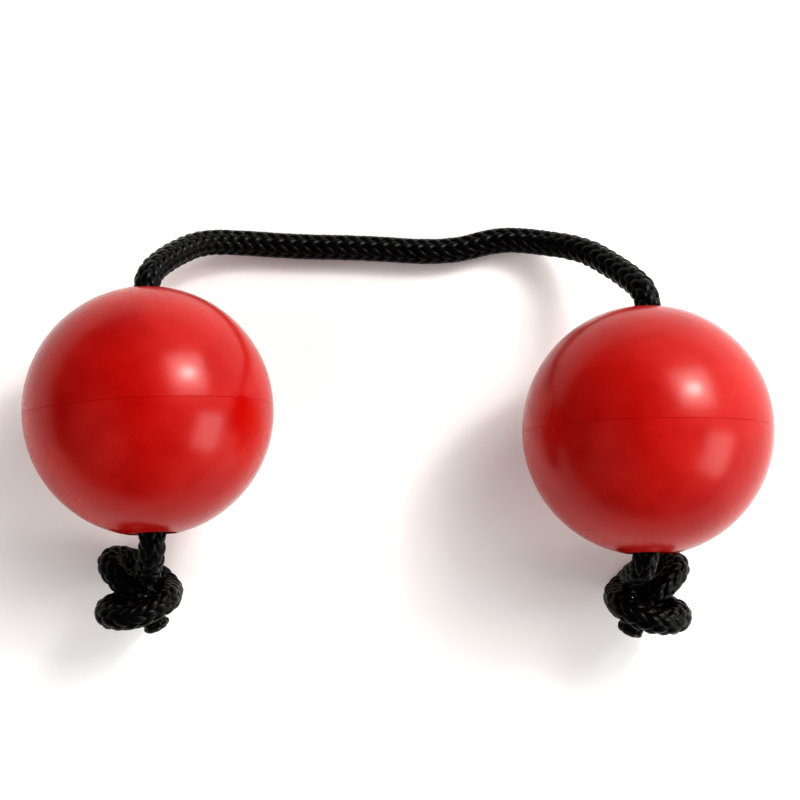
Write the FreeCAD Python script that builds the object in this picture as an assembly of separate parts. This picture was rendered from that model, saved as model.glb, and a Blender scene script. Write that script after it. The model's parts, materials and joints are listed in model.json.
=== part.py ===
"""A pair of hollow shaker balls joined by a knotted, braided cord.

Two plastic balls, each loaded with steel beads, run on one cord. The cord goes
through each ball from side to side and ends in a knot that the ball can't pass.
The toy lies on a flat surface as if just put down: the balls stand on Z = 0, the
free span of the cord lies behind them (+Y) and the two knots lie in front (-Y).

Units: millimetres. X runs from the left ball to the right one and Z points up.
The origin is the middle of the foot of the pair of balls.
"""
import FreeCAD, Part
import math
import os

V = FreeCAD.Vector
UP = V(0, 0, 1)

# ---- driving dimensions -------------------------------------------------------
BALL_R = 26.0            # outer radius of a ball
WALL = 2.0               # thickness of its moulded wall
CORD_D = 5.6             # braided cord
BALL_X = 51.85           # ball centres, either side of the middle
BALL_Y = 2.0             # the left ball stands this far back, the right one this far forward
CORD_BORE_R = 4.4        # bore of the liner that the cord runs in
LINER_WALL = 0.8
BEAD_R = 2.0
BEAD_RINGS = 3           # rings of beads around the lowest one

# ---- what follows from them ---------------------------------------------------
CORD_R = CORD_D / 2
INNER_R = BALL_R - WALL
LINER_R = CORD_BORE_R + LINER_WALL
RUN_GAP = 0.05           # radial running clearance between liner and socket
SOCKET_R = LINER_R + RUN_GAP
RIM_R = CORD_BORE_R + 0.2            # hole in the outer skin, smaller than the liner
RIM_ROUND = 0.7                      # rounding where the hole meets the skin
LIP = 1.2                            # skin left over the end of the liner
BOSS_R = SOCKET_R + 1.7
BOSS_DEPTH = 5.5                     # socket bearing length, inward from the lip
SKIN_Z = math.sqrt(BALL_R ** 2 - RIM_R ** 2)
SOCKET_TOP = SKIN_Z - LIP
LINER_END = SOCKET_TOP - 0.1         # end play of the liner
LAP = 1.5                            # depth of the stepped joint at the equator
LAP_R = INNER_R + WALL / 2
LAP_FIT = 0.03                       # glue gap in the stepped joint
SEAM_CHAMFER = 0.06
BEAD_GAP = 0.1
BEAD_ORBIT_R = INNER_R - BEAD_R - BEAD_GAP
BEAD_STEP = 10.8                     # degrees between rings of beads that just clear each other

# ---- the knot -----------------------------------------------------------------
# An overhand knot pulled up snug reads as three lobes. They are placed about the
# knot's centre as tied on the left; the other side is mirrored in X.
LOBE_R = 7.4
KNOT_REACH = 10.8        # how far the knot reaches above and below its centre
LOBE_Z = KNOT_REACH - LOBE_R
KNOT_LOBES = [V(-3.0, 2.4, -LOBE_Z), V(-3.0, -2.4, LOBE_Z), V(0.6, 0.0, 0.0)]
TAIL_START = V(1.6, -5.8, 1.4)
TAIL_END = V(2.9, -8.2, 0.4)
TIP_LENGTH = 1.2         # melted end of the cord
TIP_ROUND = 0.7

# ---- the two sides ------------------------------------------------------------
# yaw: how far the ball's hole is turned about the vertical, in degrees.
# mirror: -1 where the knot is tied as the mirror image.
SIDES = {
    "left": {"centre": V(-BALL_X, BALL_Y, BALL_R), "yaw": 3.0, "mirror": 1,
             "knot": V(-53.9, -34.1, KNOT_REACH)},
    "right": {"centre": V(BALL_X, -BALL_Y, BALL_R), "yaw": 1.0, "mirror": -1,
              "knot": V(51.9, -35.0, KNOT_REACH)},
}

# ---- the cord's route, from inside each knot through its ball to the span -----
# The two halves meet midway between their last points.
SURFACE_Z = CORD_R       # height of the centreline where the cord lies down
CORD_ROUTES = {
    "left": [
        V(-52.8, -31.4, 10.0), V(-53.1, -31.6, 17.5), V(-50.7, -28.2, 25.0), V(-51.0, -17.0, 25.2),
        V(-52.0, 3.0, 25.4), V(-52.6, 17.5, 25.2), V(-52.9, 29.4, 25.4), V(-51.2, 33.4, 21.2),
        V(-47.2, 37.6, 14.6), V(-42.5, 41.0, 8.0), V(-34.0, 41.6, 3.4),
        V(-22.0, 40.8, SURFACE_Z), V(-8.0, 40.6, SURFACE_Z)],
    "right": [
        V(51.2, -32.4, 10.0), V(48.8, -32.0, 17.5), V(51.0, -31.0, 25.8), V(51.9, -21.0, 25.7),
        V(51.8, 0.5, 25.4), V(52.2, 14.5, 25.2), V(52.6, 26.0, 25.4), V(50.0, 30.2, 21.4),
        V(45.6, 34.6, 15.6), V(40.5, 39.0, 9.6), V(31.5, 41.6, 4.2),
        V(22.0, 42.6, SURFACE_Z), V(11.0, 39.3, SURFACE_Z)],
}
EXIT_POINT = 6           # the route point where the cord bends away from its ball


def save(name, shape):
    """Write one named piece and print its size."""
    shape.exportStep(os.path.join("parts", name + ".step"))
    print("%-24s %9.1f mm3  solids %d  valid %s" % (name, shape.Volume, len(shape.Solids), shape.isValid()))


def place(shape, side):
    """Move a piece from the ball's own frame (hole along Z) to its place on this side."""
    turn = FreeCAD.Rotation(UP, side["yaw"]) * FreeCAD.Rotation(V(1, 0, 0), -90)
    shape.Placement = FreeCAD.Placement(side["centre"], turn).multiply(shape.Placement)
    return shape


def circular_edge(shape, radius, z_low, z_high):
    """The round edges of one radius between two heights."""
    found = []
    for edge in shape.Edges:
        if edge.Degenerated:
            continue
        curve = edge.Curve
        if not isinstance(curve, Part.Circle):
            continue
        if abs(curve.Radius - radius) < 0.01 and z_low <= curve.Center.z <= z_high:
            found.append(edge)
    return found


def hollow_half():
    """The upper half of the wall, with its boss, liner socket and rounded hole."""
    wall = Part.makeSphere(BALL_R).cut(Part.makeSphere(INNER_R))
    boss_foot = SOCKET_TOP - BOSS_DEPTH
    boss = Part.makeCylinder(BOSS_R, BALL_R - boss_foot, V(0, 0, boss_foot))
    boss = boss.common(Part.makeSphere(BALL_R - WALL / 2))
    upper = wall.fuse(boss).removeSplitter()
    upper = upper.cut(Part.makeCylinder(RIM_R, BALL_R, V(0, 0, 1)))
    upper = upper.cut(Part.makeCylinder(SOCKET_R, SOCKET_TOP, V(0, 0, 0)))
    rim = circular_edge(upper, RIM_R, SOCKET_TOP + LIP / 2, BALL_R)
    return upper.makeFillet(RIM_ROUND, rim)


def below(z, radius=2 * BALL_R):
    """A tall cylinder that fills everything below one height."""
    return Part.makeCylinder(radius, 2 * BALL_R, V(0, 0, z - 2 * BALL_R))


def shell_with_spigot():
    """The cord-side half: its inner step reaches past the equator into the other half."""
    body = hollow_half()
    keep_out = below(0.0).cut(Part.makeCylinder(LAP_R - LAP_FIT, LAP, V(0, 0, -LAP)))
    half = body.cut(keep_out)
    return half.makeChamfer(SEAM_CHAMFER, circular_edge(half, BALL_R, -0.01, 0.01))


def shell_with_recess():
    """The knot-side half: the same moulding, with a recess that takes the spigot."""
    half = hollow_half().cut(below(0.0))
    half = half.cut(Part.makeCylinder(LAP_R, LAP + LAP_FIT))
    half = half.makeChamfer(SEAM_CHAMFER, circular_edge(half, BALL_R, -0.01, 0.01))
    return half.rotate(V(0, 0, 0), V(1, 0, 0), 180)


def liner_tube():
    """The tube from hole to hole that keeps the beads in and lets the cord run."""
    length = 2 * LINER_END
    tube = Part.makeCylinder(LINER_R, length, V(0, 0, -LINER_END))
    return tube.cut(Part.makeCylinder(CORD_BORE_R, length, V(0, 0, -LINER_END)))


def bead_charge(centre):
    """Steel beads at rest in one layer in the bottom of the ball, ring outside ring."""
    beads = [Part.makeSphere(BEAD_R, centre - UP * BEAD_ORBIT_R)]
    for ring in range(1, BEAD_RINGS + 1):
        tilt = math.radians(BEAD_STEP * ring)
        count = 6 * ring
        for number in range(count):
            around = 2 * math.pi * number / count
            spot = V(math.sin(tilt) * math.cos(around), math.sin(tilt) * math.sin(around), -math.cos(tilt))
            beads.append(Part.makeSphere(BEAD_R, centre + spot * BEAD_ORBIT_R))
    return Part.makeCompound(beads)


def rounded_path(points, label):
    """Straight runs joined by tangent arcs through a list of points.

    Each arc is as large as its two runs allow. Returns the edges in order, run, arc,
    run and so on, and prints the arcs' radii.
    """
    edges = []
    radii = []
    start = points[0]
    for before, corner, after in zip(points, points[1:], points[2:]):
        into = corner - before
        out = after - corner
        turn = into.getAngle(out)
        reach = 0.45 * min(into.Length, out.Length)
        radius = reach / math.tan(turn / 2)
        into.normalize()
        out.normalize()
        first = corner - into * reach
        last = corner + out * reach
        middle = corner + (out - into).normalize() * (radius / math.cos(turn / 2) - radius)
        edges.append(Part.LineSegment(start, first).toShape())
        edges.append(Part.Arc(first, middle, last).toShape())
        radii.append("%.1f" % radius)
        start = last
    edges.append(Part.LineSegment(start, points[-1]).toShape())
    print("%s: arc radii %s" % (label, " ".join(radii)))
    return edges


def tube(edges, label):
    """The cord's round solid along part of a path, with its volume checked."""
    wire = Part.Wire(edges)
    start = edges[0].firstVertex().Point
    along = edges[0].tangentAt(edges[0].FirstParameter)
    profile = Part.Wire([Part.Circle(start, along, CORD_R).toShape()])
    solid = wire.makePipeShell([profile], True, False)
    wanted = math.pi * CORD_R ** 2 * wire.Length
    print("%s: length %.1f, volume %.4f of section x length" % (label, wire.Length, solid.Volume / wanted))
    return solid


def on_side(offset, side):
    """A point of the knot: an offset from the knot's centre, mirrored where it is tied so."""
    return side["knot"] + V(offset.x * side["mirror"], offset.y, offset.z)


def knot_solid(side):
    """The knot's closed outer shape: its three lobes as one solid."""
    lobes = [Part.makeSphere(LOBE_R, on_side(offset, side)) for offset in KNOT_LOBES]
    return lobes[0].multiFuse(lobes[1:]).removeSplitter()


def tail_pieces(side, knot):
    """The short end that comes out of the knot, and its melted tip."""
    start = on_side(TAIL_START, side)
    end = on_side(TAIL_END, side)
    along = (end - start).normalize()
    tail = Part.makeCylinder(CORD_R, (end - start).Length, start, along).cut(knot)
    tip = Part.makeCylinder(CORD_R, TIP_LENGTH, end, along)
    outer_rim = [edge for edge in tip.Edges
                 if isinstance(edge.Curve, Part.Circle) and edge.Curve.Center.distanceToPoint(end) > 0.01]
    tip = tip.makeFillet(TIP_ROUND, outer_rim)
    return tail, tip.cut(knot)


def build_ball(name, side):
    """Both half shells, the liner and the beads of one ball."""
    save("shell_cord_side_" + name, place(shell_with_spigot(), side))
    save("shell_knot_side_" + name, place(shell_with_recess(), side))
    save("liner_tube_" + name, place(liner_tube(), side))
    save("steel_beads_" + name, bead_charge(side["centre"]))


def build_cord(name, side):
    """This side's half of the cord: span, the stretch in the ball, knot, tail and tip."""
    middle = (CORD_ROUTES["left"][-1] + CORD_ROUTES["right"][-1]) * 0.5
    edges = rounded_path(CORD_ROUTES[name] + [middle], "cord " + name)
    bend_edge = 2 * EXIT_POINT - 1
    knot = knot_solid(side)
    save("cord_through_" + name, tube(edges[:bend_edge], "cord through " + name).cut(knot))
    save("cord_span_" + name, tube(edges[bend_edge:], "cord span " + name))
    save("knot_" + name, knot)
    tail, tip = tail_pieces(side, knot)
    save("cord_tail_" + name, tail)
    save("cord_tip_" + name, tip)


os.makedirs("parts", exist_ok=True)
for side_name, side_data in SIDES.items():
    build_ball(side_name, side_data)
    build_cord(side_name, side_data)
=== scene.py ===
import json
import math

import bpy
import numpy as np
from mathutils import Matrix, Vector


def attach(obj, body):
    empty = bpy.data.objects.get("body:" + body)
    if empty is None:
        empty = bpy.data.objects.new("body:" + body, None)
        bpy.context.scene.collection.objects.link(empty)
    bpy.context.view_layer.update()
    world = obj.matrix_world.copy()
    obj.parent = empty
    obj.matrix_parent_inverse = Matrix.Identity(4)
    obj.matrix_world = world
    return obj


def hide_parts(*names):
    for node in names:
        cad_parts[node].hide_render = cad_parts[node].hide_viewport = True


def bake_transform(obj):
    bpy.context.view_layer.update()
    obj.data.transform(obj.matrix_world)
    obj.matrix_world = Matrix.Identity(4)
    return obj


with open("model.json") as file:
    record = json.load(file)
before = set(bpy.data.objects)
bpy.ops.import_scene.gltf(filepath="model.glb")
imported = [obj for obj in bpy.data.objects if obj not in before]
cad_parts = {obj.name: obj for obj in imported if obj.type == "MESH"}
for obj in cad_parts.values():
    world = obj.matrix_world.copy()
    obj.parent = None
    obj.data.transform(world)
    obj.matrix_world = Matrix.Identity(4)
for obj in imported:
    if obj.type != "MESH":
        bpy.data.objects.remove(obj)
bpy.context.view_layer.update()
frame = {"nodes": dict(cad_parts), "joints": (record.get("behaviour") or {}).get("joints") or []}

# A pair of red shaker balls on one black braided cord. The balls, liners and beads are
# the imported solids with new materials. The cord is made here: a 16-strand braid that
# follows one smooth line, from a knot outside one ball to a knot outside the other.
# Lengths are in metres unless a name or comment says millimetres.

MM = 0.001
SIDES = ("left", "right")
SEED = 7


# ---- what the frame gives ------------------------------------------------------
def joint(name):
    """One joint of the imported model."""
    return next(entry for entry in frame["joints"] if entry["name"] == name)


BALL_CENTRE = {side: Vector(joint(f"ball_spin_{side}")["pos_m"]) for side in SIDES}
BALL_R = BALL_CENTRE["left"].z
BALLS_MIDDLE = (BALL_CENTRE["left"] + BALL_CENTRE["right"]) / 2

# ---- camera --------------------------------------------------------------------
VIEW_ELEVATION = math.radians(83.7)
VIEW_DISTANCE = 0.46
VIEW_WIDTH = 6.396 * BALL_R          # width of the picture at the balls' centres
VIEW_SHIFT = Vector((0.017, 0.167, 0)) * BALL_R


def add_camera():
    """A short telephoto above the toy, tipped a little towards the knots."""
    data = bpy.data.cameras.new("camera")
    data.lens = data.sensor_width * VIEW_DISTANCE / VIEW_WIDTH
    camera = bpy.data.objects.new("camera", data)
    bpy.context.scene.collection.objects.link(camera)
    back = Vector((0, -math.cos(VIEW_ELEVATION), math.sin(VIEW_ELEVATION)))
    camera.location = BALLS_MIDDLE + VIEW_SHIFT + back * VIEW_DISTANCE
    camera.rotation_euler = back.to_track_quat("Z", "Y").to_euler()
    bpy.context.scene.camera = camera


# ---- the cord's line -----------------------------------------------------------
CORD_D = 5.6 * MM
CORD_R = CORD_D / 2
SURFACE_Z = 2.9                      # mm, height of the line where the braid's crowns touch the floor
KNOT_CENTRE = {"left": Vector((-53.9, -34.1, 10.8)), "right": Vector((51.9, -35.0, 10.8))}
KNOT_MIRROR = {"left": 1, "right": -1}
LINE_STEPS = 24                      # points of the line for each of its control points

# From the cut end to the stretch that leaves the knot, in mm about the knot's centre as
# tied on the left. It is an overhand knot, pulled up snug.
KNOT_ROUTE = [
    (3.1, -8.8, 0.2), (1.0, -4.5, 2.0), (-4.3, 1.0, 3.4), (-8.1, 5.0, 0.0), (-6.5, 6.9, -5.8),
    (-0.6, 4.8, -8.8), (5.0, 0.0, -6.0), (5.3, -1.4, 0.0), (5.3, -3.0, 6.0), (-0.7, -6.4, 8.7),
    (-6.9, -6.5, 5.9), (-8.0, -4.3, 0.0), (-2.0, -2.2, -3.6)]

# From inside each knot, through its ball and on to the middle of the free span, in mm.
CORD_ROUTES = {
    "left": [
        (-52.8, -31.4, 10.0), (-53.1, -31.6, 17.5), (-50.7, -28.2, 25.0), (-51.0, -17.0, 25.2),
        (-52.0, 3.0, 25.4), (-52.6, 17.5, 25.2), (-52.9, 29.4, 25.4), (-51.2, 33.4, 21.2),
        (-47.2, 37.6, 14.6), (-42.5, 41.0, 8.0), (-34.0, 41.6, 3.4),
        (-22.0, 40.8, SURFACE_Z), (-8.0, 40.6, SURFACE_Z)],
    "right": [
        (51.2, -32.4, 10.0), (48.8, -32.0, 17.5), (51.0, -31.0, 25.8), (51.9, -21.0, 25.7),
        (51.8, 0.5, 25.4), (52.2, 14.5, 25.2), (52.6, 26.0, 25.4), (50.0, 30.2, 21.4),
        (45.6, 34.6, 15.6), (40.5, 39.0, 9.6), (31.5, 41.6, 4.2),
        (22.0, 42.6, SURFACE_Z), (11.0, 39.3, SURFACE_Z)],
}


def half_route(side):
    """One half of the cord's route, from its cut end to the middle, in metres."""
    flip = KNOT_MIRROR[side]
    knot = [KNOT_CENTRE[side] + Vector((x * flip, y, z)) for x, y, z in KNOT_ROUTE]
    return [point * MM for point in knot + [Vector(p) for p in CORD_ROUTES[side]]]


def smooth_line(points):
    """The points of the smooth NURBS line that has these points as its control points."""
    curve = bpy.data.curves.new("cord_line", "CURVE")
    curve.dimensions = "3D"
    spline = curve.splines.new("NURBS")
    spline.points.add(len(points) - 1)
    for point, place in zip(spline.points, points):
        point.co = (*place, 1)
    spline.order_u = 3
    spline.use_endpoint_u = True
    spline.resolution_u = LINE_STEPS
    holder = bpy.data.objects.new("cord_line", curve)
    mesh = bpy.data.meshes.new_from_object(holder)
    line = np.array([vertex.co for vertex in mesh.vertices])
    bpy.data.objects.remove(holder)
    bpy.data.curves.remove(curve)
    bpy.data.meshes.remove(mesh)
    return line


SAME_POINT = 1e-7                    # points nearer than this are one point


class CordLine:
    """The whole cord's centreline, with a frame carried along it without twist.

    along is the distance to each point, and outer the same distance on the outer side
    of every bend. normal and side are the frame's two directions across the cord.
    """

    def __init__(self, line):
        steps = np.linalg.norm(np.diff(line, axis=0), axis=1)
        line = line[np.r_[True, steps > SAME_POINT]]
        self.line = line
        self.along = np.r_[0, np.cumsum(np.linalg.norm(np.diff(line, axis=0), axis=1))]
        self.length = self.along[-1]
        tangent = np.gradient(line, self.along, axis=0)
        tangent /= np.linalg.norm(tangent, axis=1)[:, None]
        turns = np.arccos(np.clip((tangent[1:] * tangent[:-1]).sum(axis=1), -1, 1))
        self.outer = self.along + CORD_R * np.r_[0, np.cumsum(turns)]
        normal = [np.cross(tangent[0], (0, 0, 1))]
        for direction in tangent[1:]:
            carried = normal[-1] - direction * (normal[-1] @ direction)
            normal.append(carried / np.linalg.norm(carried))
        self.normal = np.array(normal)
        self.normal[0] /= np.linalg.norm(self.normal[0])
        self.side = np.cross(tangent, self.normal)

    def at(self, values, distance):
        """Values given at the line's points, read at other distances along it."""
        return np.stack([np.interp(distance, self.along, values[:, axis]) for axis in range(3)], axis=-1)

    def surface(self, distance, angle, radius):
        """Points at a distance along the line, an angle round it and a radius from it."""
        out = self.at(self.normal, distance) * np.cos(angle)[..., None]
        out += self.at(self.side, distance) * np.sin(angle)[..., None]
        return self.at(self.line, distance) + out * radius[..., None]

    def rings(self, spacing, inset):
        """Distances along the line, short of its ends, evenly spaced on the outer side of bends."""
        first, last = np.interp((inset, self.length - inset), self.along, self.outer)
        even = np.linspace(first, last, round((last - first) / spacing))
        return np.interp(even, self.outer, self.along)


# ---- the braid -----------------------------------------------------------------
STRANDS = 16                         # half of them turn each way
PER_WAY = STRANDS // 2
LAY = 20.4 * MM                      # length of one full turn of a strand
CROSSING = LAY / STRANDS             # from one crossing to the next
STRAND_WIDTH = 1.70 * MM
STRAND_THICK = 0.90 * MM
WEAVE = 0.34 * MM                    # rise and fall of a strand about its mean radius
SLACK = 0.08                         # share by which that rise differs along a strand
SLACK_WAVES = 2.3                    # radians of that difference in one lay
SPREAD = 0.06                        # share by which a strand is wider where it is on top
CROWN_R = CORD_R + 0.1 * MM          # the strands' crowns stand this far from the line
MEAN_R = CROWN_R - STRAND_THICK / 2 - WEAVE
BRAID_ANGLE = math.atan(2 * math.pi * MEAN_R / LAY)
RING_SPACING = 0.51 * MM
PROFILE = np.radians([0, 45, 90, 135, 180, 270])     # round a strand: most on its outer side
TIP_LENGTH = 1.2 * MM                # melted end, which the strands run into
TIP_R = CORD_R
STRAND_INSET = 0.8 * TIP_LENGTH      # the strands stop this far short of the end
TIP_RINGS = 9
TIP_SIDES = 48
RIB_HEIGHT = 0.05                    # these two are shares of the tip's radius
LUMP_HEIGHT = 0.04
SLANT = 0.12                         # share of the tip's length by which its rings are uneven


def add_piece(name, points, faces, material):
    """A smooth mesh piece with one material."""
    mesh = bpy.data.meshes.new(name)
    mesh.from_pydata(points, [], faces)
    mesh.polygons.foreach_set("use_smooth", [True] * len(mesh.polygons))
    mesh.materials.append(material)
    mesh.update()
    piece = bpy.data.objects.new(name, mesh)
    bpy.context.scene.collection.objects.link(piece)
    return piece


def strand_points(cord, number, way, s, rng):
    """Grid of points, along by round, over one strand of the braid."""
    phase = 2 * number + way * s / CROSSING
    lift = way * np.cos(math.pi / 2 * (phase - 0.5))
    slack = 1 + SLACK * np.sin(SLACK_WAVES * s / LAY + rng.uniform(0, 2 * math.pi))
    across = np.cos(PROFILE) * STRAND_WIDTH / 2 * (1 + SPREAD * lift)
    radius = MEAN_R + WEAVE * lift * slack + np.sin(PROFILE) * STRAND_THICK / 2
    turn = 2 * math.pi * (way * s / LAY + number / PER_WAY)
    distance = s - way * math.sin(BRAID_ANGLE) * across
    return cord.surface(distance, turn + math.cos(BRAID_ANGLE) * across / MEAN_R, radius)


def add_braid(cord, material):
    """Every strand of the cord from end to end, each a closed tube, as one piece."""
    rng = np.random.default_rng(SEED)
    sides = len(PROFILE)
    s = cord.rings(RING_SPACING, STRAND_INSET)[:, None]
    rows = len(s)
    u = np.arange(sides + 1) / sides
    v = s[:, 0] / STRAND_WIDTH
    u_wall = np.stack([u[:-1], u[1:], u[1:], u[:-1]], axis=-1)
    v_wall = np.stack([v[:-1], v[:-1], v[1:], v[1:]], axis=-1)
    wall_uv = np.empty((rows - 1, sides, 4, 2))
    wall_uv[..., 0] = u_wall[None]
    wall_uv[..., 1] = v_wall[:, None]
    end_uv = np.zeros((2 * sides, 2))
    points, faces, uvs, tone = [], [], [], []
    for way in (1, -1):
        for number in range(PER_WAY):
            index = len(tone) * rows * sides + np.arange(rows * sides).reshape(rows, sides)
            after = np.roll(index, -1, axis=1)
            quads = np.stack([index[:-1], after[:-1], after[1:], index[1:]], axis=-1)
            points.append(strand_points(cord, number, way, s, rng).reshape(-1, 3))
            faces += quads.reshape(-1, 4).tolist() + [index[0][::-1].tolist(), index[-1].tolist()]
            uvs += [wall_uv.reshape(-1, 2), end_uv]
            tone.append(rng.uniform())
    piece = add_piece("braided_cord", np.vstack(points), faces, material)
    layer = piece.data.uv_layers.new(name="strand")
    layer.data.foreach_set("uv", np.vstack(uvs).astype(np.float32).ravel())
    shade = piece.data.attributes.new("tone", "FLOAT", "POINT")
    shade.data.foreach_set("value", np.repeat(tone, rows * sides).astype(np.float32))
    return piece


def add_tip(cord, side, material):
    """The melted end: a low dome in which the ends of the strands still show as ribs."""
    deep = np.linspace(0, 1, TIP_RINGS)[1:, None]
    around = np.linspace(0, 2 * math.pi, TIP_SIDES, endpoint=False)[None, :]
    dome = (1 - (1 - deep) ** 3) ** (1 / 3)
    ribs = 1 + RIB_HEIGHT * np.cos(PER_WAY * around) + LUMP_HEIGHT * np.sin(3 * around + 1) * (1 - deep)
    from_end = TIP_LENGTH * deep * (1 + SLANT * np.sin(2 * around))
    start, inward = (0.0, 1) if side == "left" else (cord.length, -1)
    wall = cord.surface(start + inward * from_end, around, TIP_R * dome * ribs)
    index = np.arange(wall.size // 3).reshape(TIP_RINGS - 1, TIP_SIDES)
    after = np.roll(index, -1, axis=1)
    quads = np.stack([index[:-1], index[1:], after[1:], after[:-1]], axis=-1).reshape(-1, 4)
    faces = [face[::inward] for face in quads.tolist()]
    faces += [index[0].tolist()[::inward], index[-1][::-1].tolist()[::inward]]
    return add_piece(f"melted_end_{side}", wall.reshape(-1, 3), faces, material)


# ---- materials -----------------------------------------------------------------
class Nodes:
    """A material's node tree with short calls to add and link nodes."""

    def __init__(self, name):
        self.material = bpy.data.materials.new(name)
        self.material.use_nodes = True
        self.tree = self.material.node_tree
        self.shader = self.tree.nodes["Principled BSDF"]

    def add(self, kind, inputs=None, **settings):
        """A node, with its settings and its inputs: a value, or an output to link from."""
        node = self.tree.nodes.new("ShaderNode" + kind)
        for key, value in settings.items():
            setattr(node, key, value)
        for key, value in (inputs or {}).items():
            self.feed(node, key, value)
        return node

    def feed(self, node, key, value):
        """Set one input of a node, by link or by value."""
        if isinstance(value, bpy.types.NodeSocket):
            self.tree.links.new(value, node.inputs[key])
        else:
            node.inputs[key].default_value = value

    def shade(self, **inputs):
        """Set inputs of the main shader, named with underscores for spaces."""
        for key, value in inputs.items():
            self.feed(self.shader, key.replace("_", " "), value)

    def noise(self, vector, scale, detail=3.0, distortion=0.0):
        """The grey output of a noise texture, with about this many lumps in a metre."""
        node = self.add("TexNoise", {"Vector": vector, "Scale": scale, "Detail": detail,
                                     "Distortion": distortion})
        return node.outputs["Fac"]

    def ramp(self, value, low, high, out_low, out_high):
        """A value spread from one range to another and held at both ends."""
        node = self.add("MapRange", {"Value": value, "From Min": low, "From Max": high,
                                     "To Min": out_low, "To Max": out_high})
        return node.outputs["Result"]

    def math(self, operation, *values):
        """One arithmetic step."""
        node = self.add("Math", operation=operation)
        for index, value in enumerate(values):
            self.feed(node, index, value)
        return node.outputs[0]

    def mix(self, factor, first, second):
        """A colour between two others."""
        node = self.add("Mix", data_type="RGBA")
        for key, value in ((0, factor), (6, first), (7, second)):
            self.feed(node, key, value)
        return node.outputs[2]

    def bump(self, height, strength, distance):
        """A normal from a height."""
        node = self.add("Bump", {"Height": height, "Strength": strength, "Distance": distance})
        return node.outputs["Normal"]

    def place(self):
        """The surface's place in the part's own frame, in metres."""
        return self.add("TexCoord").outputs["Object"]


def colour(red, green, blue):
    """A linear colour with full alpha."""
    return (red, green, blue, 1.0)


def red_plastic(side):
    """Moulded red plastic, slightly waxy and wavy, with paler patches, flow lines and light scuffs."""
    nodes = Nodes(f"red_plastic_{side}")
    place = nodes.place()
    mottle = nodes.noise(place, 70, 4)
    ripple = nodes.noise(place, 260, 2)
    flow = nodes.noise(place, 55, 2, distortion=1.5)
    lines = nodes.ramp(nodes.math("ABSOLUTE", nodes.math("SUBTRACT", flow, 0.5)), 0.0, 0.006, 1, 0)
    worn = nodes.ramp(nodes.noise(place, 40, 1), 0.52, 0.66, 0, 1)
    scuffs = nodes.math("MULTIPLY", lines, worn)
    fine = nodes.math("ADD", nodes.math("MULTIPLY", ripple, 0.03), nodes.math("MULTIPLY", scuffs, -0.015))
    height = nodes.math("ADD", fine, nodes.noise(place, 45, 2))
    deep_red = colour(0.31, 0.0018, 0.0008)
    pale_red = colour(0.375, 0.011, 0.007)
    scuffed_red = colour(0.20, 0.006, 0.004)
    tint = nodes.mix(nodes.ramp(mottle, 0.35, 0.65, 0, 1), deep_red, pale_red)
    gloss = nodes.ramp(mottle, 0.3, 0.7, 0.19, 0.29)
    nodes.shade(
        Base_Color=nodes.mix(nodes.math("MULTIPLY", scuffs, 0.15), tint, scuffed_red),
        Roughness=nodes.math("ADD", gloss, nodes.math("MULTIPLY", scuffs, 0.15)),
        IOR=1.38,
        Normal=nodes.bump(height, 1.0, 0.08 * MM))
    return nodes.material


def black_cord():
    """Black nylon yarns: satin, with fine filaments that run along each strand."""
    nodes = Nodes("black_cord")
    strand = nodes.add("UVMap", uv_map="strand").outputs["UV"]
    stretch = nodes.add("Mapping", {"Vector": strand, "Scale": (26.0, 0.55, 1.0)}).outputs["Vector"]
    filaments = nodes.noise(stretch, 1.0, 2)
    tone = nodes.add("Attribute", attribute_name="tone").outputs["Fac"]
    dark = colour(0.0006, 0.0006, 0.0007)
    light = colour(0.0035, 0.0035, 0.0038)
    shade = nodes.math("ADD", nodes.math("MULTIPLY", filaments, 0.7), nodes.math("MULTIPLY", tone, 0.3))
    nodes.shade(
        Base_Color=nodes.mix(nodes.ramp(shade, 0.3, 0.7, 0, 1), dark, light),
        Roughness=nodes.ramp(filaments, 0.3, 0.7, 0.22, 0.36),
        IOR=1.25,
        Normal=nodes.bump(filaments, 0.7, 0.06 * MM))
    return nodes.material


def melted_cord():
    """Nylon melted to a hard dark bead."""
    nodes = Nodes("melted_cord")
    place = nodes.place()
    lumps = nodes.noise(place, 900, 3)
    nodes.shade(
        Base_Color=nodes.mix(lumps, colour(0.002, 0.002, 0.002), colour(0.010, 0.0095, 0.009)),
        Roughness=nodes.ramp(lumps, 0.3, 0.7, 0.3, 0.5),
        Normal=nodes.bump(lumps, 0.5, 0.2 * MM))
    return nodes.material


def liner_plastic():
    """Plain natural plastic tube, faintly clouded in colour and gloss."""
    nodes = Nodes("liner_plastic")
    place = nodes.place()
    cloud = nodes.noise(place, 300, 3)
    nodes.shade(
        Base_Color=nodes.mix(cloud, colour(0.62, 0.60, 0.55), colour(0.72, 0.70, 0.66)),
        Roughness=nodes.ramp(cloud, 0.3, 0.7, 0.4, 0.55),
        Normal=nodes.bump(cloud, 0.2, 0.05 * MM))
    return nodes.material


def bead_steel():
    """Tumbled steel shot."""
    nodes = Nodes("bead_steel")
    place = nodes.place()
    marks = nodes.noise(place, 1500, 4)
    nodes.shade(
        Base_Color=nodes.mix(marks, colour(0.42, 0.42, 0.43), colour(0.62, 0.62, 0.63)),
        Metallic=1.0,
        Roughness=nodes.ramp(marks, 0.3, 0.7, 0.22, 0.42),
        Normal=nodes.bump(marks, 0.2, 0.03 * MM))
    return nodes.material


# ---- pieces --------------------------------------------------------------------
def dress(node, material):
    """Give a CAD piece its material."""
    slots = frame["nodes"][node].data.materials
    slots.clear()
    slots.append(material)


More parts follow.
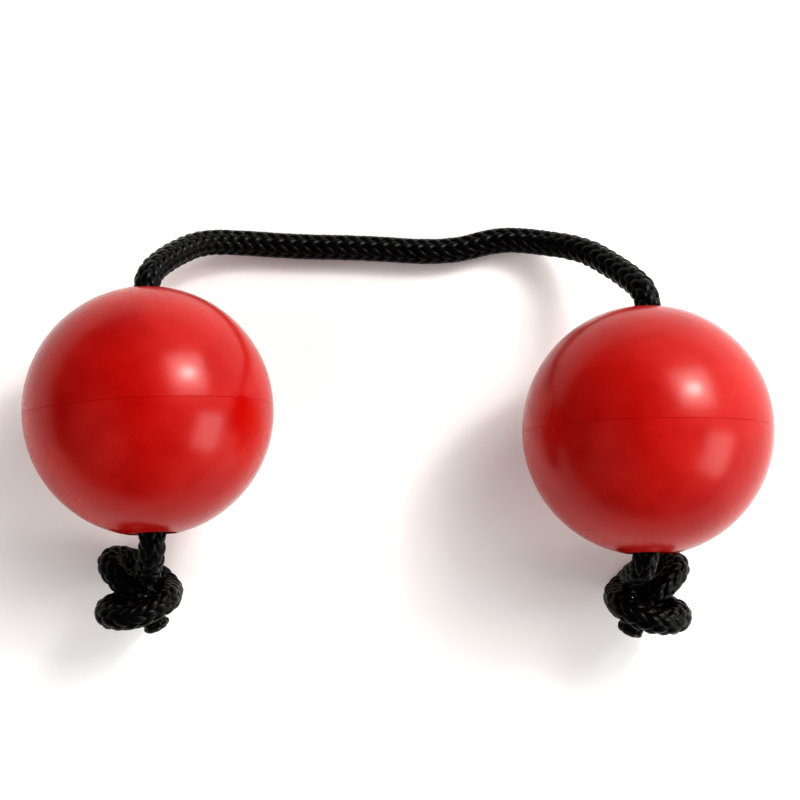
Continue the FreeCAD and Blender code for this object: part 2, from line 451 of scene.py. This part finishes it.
def add_cord():
    """The whole cord in one piece, from cut end to cut end, with both melted ends."""
    cord = CordLine(smooth_line(half_route("left") + half_route("right")[::-1]))
    braid = add_braid(cord, black_cord())
    for side in SIDES:
        tip = add_tip(cord, side, melted_cord())
        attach(tip, f"cord_{side}")
        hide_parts(f"cord_tip_{side}")
        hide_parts(f"cord_through_{side}", f"cord_span_{side}", f"knot_{side}", f"cord_tail_{side}")
    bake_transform(braid)


# ---- room and light ------------------------------------------------------------
LIGHT_DISTANCE = 1.2
DAYLIGHT = (1.0, 0.975, 0.94)
FLOOR_HALF = 2.5
BRIGHT_SIDE = (0.85, 0.25, -0.45)    # the surroundings are brightest this way
ROOM_RANGE = {"From Min": -0.35, "From Max": 0.9, "To Min": 0.16, "To Max": 1.3}


def add_floor():
    """A plain pale floor, five metres square."""
    corners = [(x * FLOOR_HALF, y * FLOOR_HALF, 0) for x, y in ((-1, -1), (1, -1), (1, 1), (-1, 1))]
    mesh = bpy.data.meshes.new("floor")
    mesh.from_pydata(corners, [], [(0, 1, 2, 3)])
    floor = bpy.data.objects.new("floor", mesh)
    bpy.context.scene.collection.objects.link(floor)
    nodes = Nodes("floor")
    nodes.shade(Base_Color=colour(0.88, 0.88, 0.88), Roughness=0.6)
    mesh.materials.append(nodes.material)


def add_area(name, direction, size, radiance):
    """A soft rectangular light that faces the middle of the balls, one pair of its edges square to the
    world's Y axis.
    """
    data = bpy.data.lights.new(name, "AREA")
    data.shape = "RECTANGLE"
    data.size, data.size_y = size
    data.color = DAYLIGHT
    data.energy = radiance * math.pi * size[0] * size[1]
    light = bpy.data.objects.new(name, data)
    bpy.context.scene.collection.objects.link(light)
    away = Vector(direction).normalized()
    right = Vector((0, 1, 0)).cross(away).normalized()
    turn = Matrix((right, away.cross(right), away)).transposed()
    light.matrix_world = Matrix.Translation(BALLS_MIDDLE + away * LIGHT_DISTANCE) @ turn.to_4x4()
    light.visible_camera = False
    return light


def add_room():
    """Surroundings that are bright towards the window side and dim overhead."""
    world = bpy.data.worlds.new("room")
    world.use_nodes = True
    tree = world.node_tree
    place = tree.nodes.new("ShaderNodeTexCoord")
    towards = tree.nodes.new("ShaderNodeVectorMath")
    towards.operation = "DOT_PRODUCT"
    towards.inputs[1].default_value = BRIGHT_SIDE
    spread = tree.nodes.new("ShaderNodeMapRange")
    for key, value in ROOM_RANGE.items():
        spread.inputs[key].default_value = value
    tree.links.new(place.outputs["Generated"], towards.inputs[0])
    tree.links.new(towards.outputs["Value"], spread.inputs["Value"])
    tree.links.new(spread.outputs["Result"], tree.nodes["Background"].inputs["Strength"])
    tree.nodes["Background"].inputs["Color"].default_value = colour(1, 1, 1)
    bpy.context.scene.world = world


def add_light():
    """A window at the upper right with a brighter patch of sky in it, a lamp at the right and a fill."""
    add_area("window", (0.59, 0.50, 0.63), (0.70, 0.72), 5.2)
    add_area("sky_patch", (0.585, 0.49, 0.645), (0.26, 0.16), 30)
    add_area("side", (0.86, -0.33, 0.42), (0.56, 0.66), 3.8)
    fill = add_area("fill", (-0.65, -0.35, 0.6), (1.1, 1.1), 1.8)
    fill.visible_glossy = False
    add_room()
    bpy.context.scene.view_settings.view_transform = "Standard"
    bpy.context.scene.view_settings.look = "High Contrast"


add_camera()
add_cord()
for side in SIDES:
    plastic = red_plastic(side)
    dress(f"shell_cord_side_{side}", plastic)
    dress(f"shell_knot_side_{side}", plastic)
    dress(f"liner_tube_{side}", liner_plastic())
    dress(f"steel_beads_{side}", bead_steel())
add_floor()
add_light()
